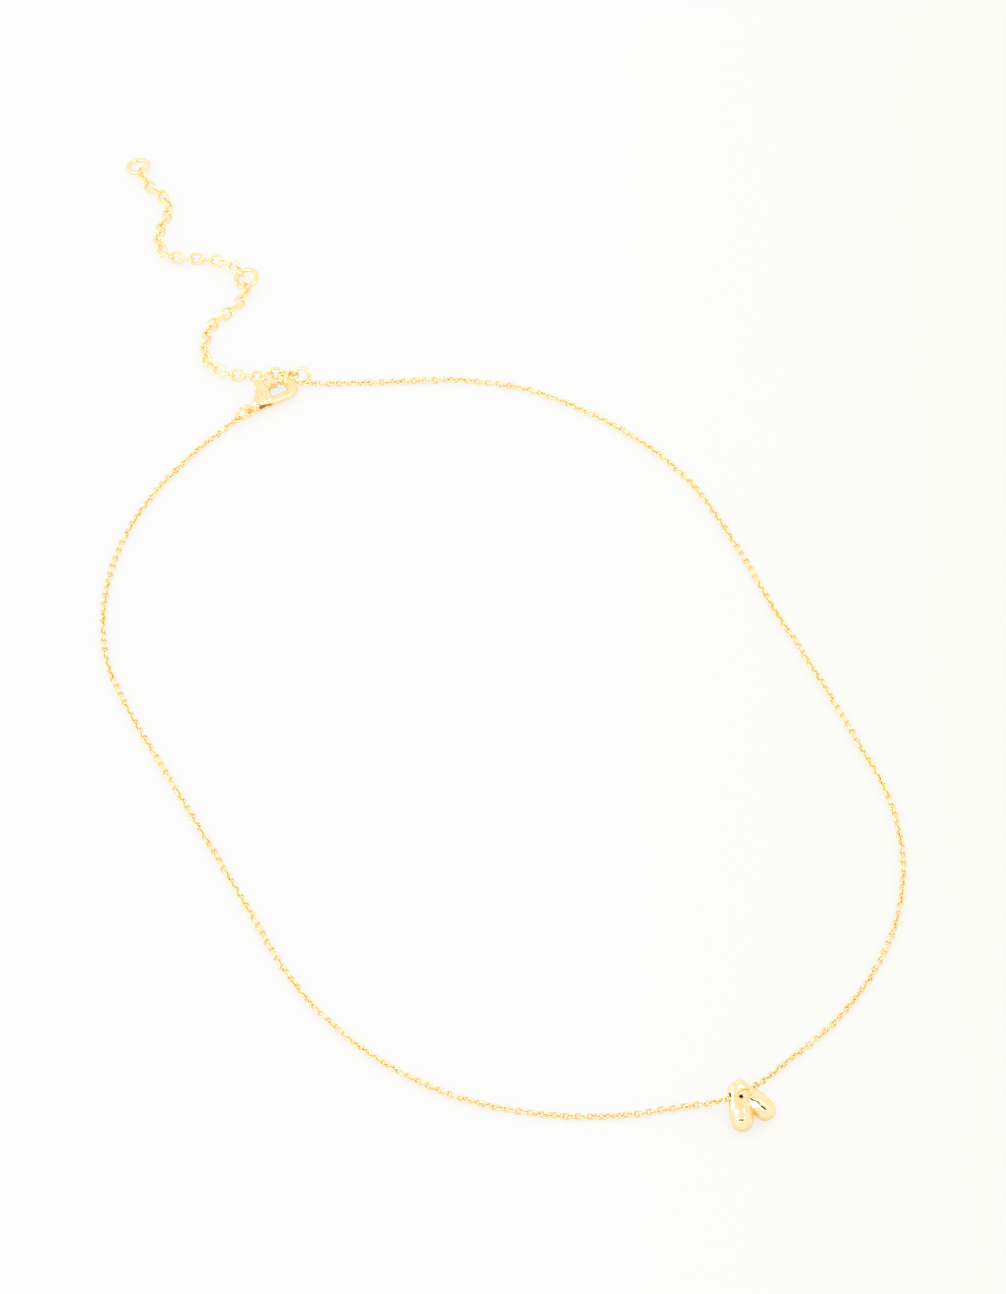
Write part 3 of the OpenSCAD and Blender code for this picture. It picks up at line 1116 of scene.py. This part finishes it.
    def build(self) -> list[bpy.types.Object]:
        """Casts the body and the lever.

        Returns:
            The body and the lever.
        """
        material = self.gold.material()
        caster = Caster(self.step)
        made = []
        for name, node, body, shape, shade, box in (
            ("clasp_casting", "clasp_body", NECKLACE, self._body, self._body_shade, self.body_box),
            ("clasp_gate", "clasp_lever", LEVER, self._lever, self._lever_shade, self.lever_box),
        ):
            points, quads = caster.cast(shape, *box)
            part = piece(name, self._placed(points), quads, shade(points, caster), material)
            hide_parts(node)
            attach(part, body)
            made.append(part)
            log.info("%s: %d faces", name, len(quads))
        return made


@dataclass
class Findings:
    """Rings and extender links, whose solids have their final shape but for the gold that plates them."""

    gold: Gold
    plate_mm: float = 0.04
    seam_mm: float = 0.001
    nodes: tuple[str, ...] = (
        "jump_ring_left", "jump_ring_right", "extender_near", "mid_ring", "extender_far", "end_ring")

    def dress(self) -> None:
        """Gives each of them its gold and a little thickness, with the seams of its surface closed."""
        material = self.gold.material()
        for node in self.nodes:
            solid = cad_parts[node]
            solid.data.materials.clear()
            solid.data.materials.append(material)
            seams = solid.modifiers.new("seams", "WELD")
            seams.merge_threshold = self.seam_mm * MM
            plate = solid.modifiers.new("plate", "DISPLACE")
            plate.mid_level = 0
            plate.strength = self.plate_mm * MM
            log.info("%s: dressed", node)


# Camera, table and light


@dataclass(frozen=True)
class Viewpoint:
    """Camera at the photograph's angle, with the object at its place in the frame."""

    at_mm: Point = (-250.70, -478.22, 623.67)
    azimuth: float = -29.0
    down: float = 49.5
    lens: float = 153.0
    sensor: float = 36.0
    near_m: float = 0.01
    far_m: float = 20.0

    def axes(self) -> tuple[Vector, Vector, Vector]:
        """Directions that the camera sees by.

        Returns:
            To the picture's right, to its top, and back to the camera.
        """
        a, e = math.radians(self.azimuth), math.radians(self.down)
        right = Vector((math.cos(a), math.sin(a), 0))
        back = Vector((math.sin(a) * math.cos(e), -math.cos(a) * math.cos(e), math.sin(e)))
        return right, back.cross(right), back

    def build(self) -> None:
        """Makes the camera."""
        camera = bpy.data.cameras.new("camera")
        camera.sensor_width = self.sensor
        camera.lens = self.lens
        camera.clip_start = self.near_m
        camera.clip_end = self.far_m
        holder = bpy.data.objects.new("camera", camera)
        holder.location = Vector(self.at_mm) * MM
        holder.rotation_mode = "QUATERNION"
        holder.rotation_quaternion = (-self.axes()[2]).to_track_quat("-Z", "Y")
        bpy.context.scene.collection.objects.link(holder)
        bpy.context.scene.camera = holder


@dataclass(frozen=True)
class Panel:
    """Lamp for the table, or soft box or dark card for the gold to reflect, placed as seen by the camera.

    Its way holds how far right, up and towards the camera it lies from the place that it is about. A panel
    that doesn't glow is a dark card.
    """

    name: str
    way: Point
    away_m: float
    wide_m: float
    high_m: float
    glow: float = 0.0
    on_table: bool = False
    about_mm: Point = (-4.2, -103.0, 3.0)
    card_tone: float = 0.02

    def _lamp(self) -> bpy.types.Object:
        """Makes the lamp, seen either by the table or by the gold.

        Returns:
            The lamp, not yet placed.
        """
        lamp = bpy.data.lights.new(self.name, "AREA")
        lamp.shape = "RECTANGLE"
        lamp.size = self.wide_m
        lamp.size_y = self.high_m
        lamp.energy = self.glow * self.wide_m * self.high_m * math.pi
        holder = bpy.data.objects.new(self.name, lamp)
        holder.visible_diffuse = self.on_table
        holder.visible_glossy = not self.on_table
        return holder

    def _card(self) -> bpy.types.Object:
        """Makes the dark card, seen by the gold alone.

        Returns:
            The card, not yet placed.
        """
        half, tall = self.wide_m / 2, self.high_m / 2
        mesh = bpy.data.meshes.new(self.name)
        corners = [(-half, -tall, 0), (half, -tall, 0), (half, tall, 0), (-half, tall, 0)]
        mesh.from_pydata(corners, [], [(0, 1, 2, 3)])
        dark = bpy.data.materials.new(self.name)
        dark.use_nodes = True
        shader = dark.node_tree.nodes["Principled BSDF"]
        shader.inputs["Base Color"].default_value = (self.card_tone, self.card_tone, self.card_tone, 1)
        mesh.materials.append(dark)
        holder = bpy.data.objects.new(self.name, mesh)
        holder.visible_diffuse = False
        holder.visible_shadow = False
        return holder

    def build(self, view: Viewpoint) -> None:
        """Makes the panel and turns it to the place that it is about.

        Args:
            view: Viewpoint whose directions place the panel.
        """
        right, up, back = view.axes()
        way = (self.way[0] * right + self.way[1] * up + self.way[2] * back).normalized()
        holder = self._lamp() if self.glow > 0 else self._card()
        holder.location = Vector(self.about_mm) * MM + way * self.away_m
        holder.rotation_mode = "QUATERNION"
        level = up.cross(way).normalized()
        holder.rotation_quaternion = Matrix((level, way.cross(level), way)).transposed().to_quaternion()
        holder.visible_camera = False
        bpy.context.scene.collection.objects.link(holder)


@dataclass
class Studio:
    """White table in even white light from all round, with a lamp, soft boxes and a dark card."""

    paper: Paper = Paper()
    table_m: float = 8.0
    table_cells: int = 8
    drop: float = 0.02
    sky: float = 0.99
    panels: tuple[Panel, ...] = (
        Panel("key_lamp", (0.42, 0.68, 0.35), away_m=0.9, wide_m=0.45, high_m=0.45, glow=0.4, on_table=True),
        Panel("top_box", (0.4, 0.53, 0.75), away_m=0.8, wide_m=0.1, high_m=0.1, glow=4.0),
        Panel("left_box", (-0.62, 0.13, 0.77), away_m=0.7, wide_m=0.95, high_m=0.4, glow=2.0),
        Panel("low_box", (-0.893, 0.42, -0.155), away_m=0.9, wide_m=0.4, high_m=0.2, glow=1.3),
        Panel("clasp_box", (0.47, 0.44, 0.77), away_m=0.12, wide_m=0.05, high_m=0.036, glow=2.2,
              about_mm=(2.5, 48.0, 1.0)),
        Panel("dark_card", (-0.31, 0.2, 0.93), away_m=0.5, wide_m=0.46, high_m=0.155),
    )

    def build(self, view: Viewpoint) -> None:
        """Makes the table, the world and the panels.

        Args:
            view: Viewpoint whose directions place the panels.
        """
        bpy.ops.mesh.primitive_grid_add(x_subdivisions=self.table_cells, y_subdivisions=self.table_cells,
                                        size=self.table_m, location=(0, 0, -self.drop * MM))
        table = bpy.context.object
        table.name = "table"
        table.data.materials.append(self.paper.material())

        scene = bpy.context.scene
        scene.view_settings.view_transform = "Standard"
        world = bpy.data.worlds.new("studio")
        scene.world = world
        world.use_nodes = True
        world.node_tree.nodes["Background"].inputs["Color"].default_value = WHITE
        world.node_tree.nodes["Background"].inputs["Strength"].default_value = self.sky
        for panel in self.panels:
            panel.build(view)


def main() -> None:
    """Builds the studio and every sub-assembly in order."""
    logging.basicConfig(level=logging.INFO, format="%(name)s: %(message)s")
    view = Viewpoint()
    view.build()
    Studio().build(view)
    FineChain(Gold("chain_gold", cloud_mm=2.5, darkest_shade=(0.93, 0.54, 0.15))).build()
    LetterCharm(Gold("letter_gold", smooth=0.05, worn=0.09)).build()
    LobsterClasp(Gold("clasp_gold", smooth=0.06, worn=0.1)).build()
    Findings(Gold("findings_gold")).dress()


if __name__ == "__main__":
    main()
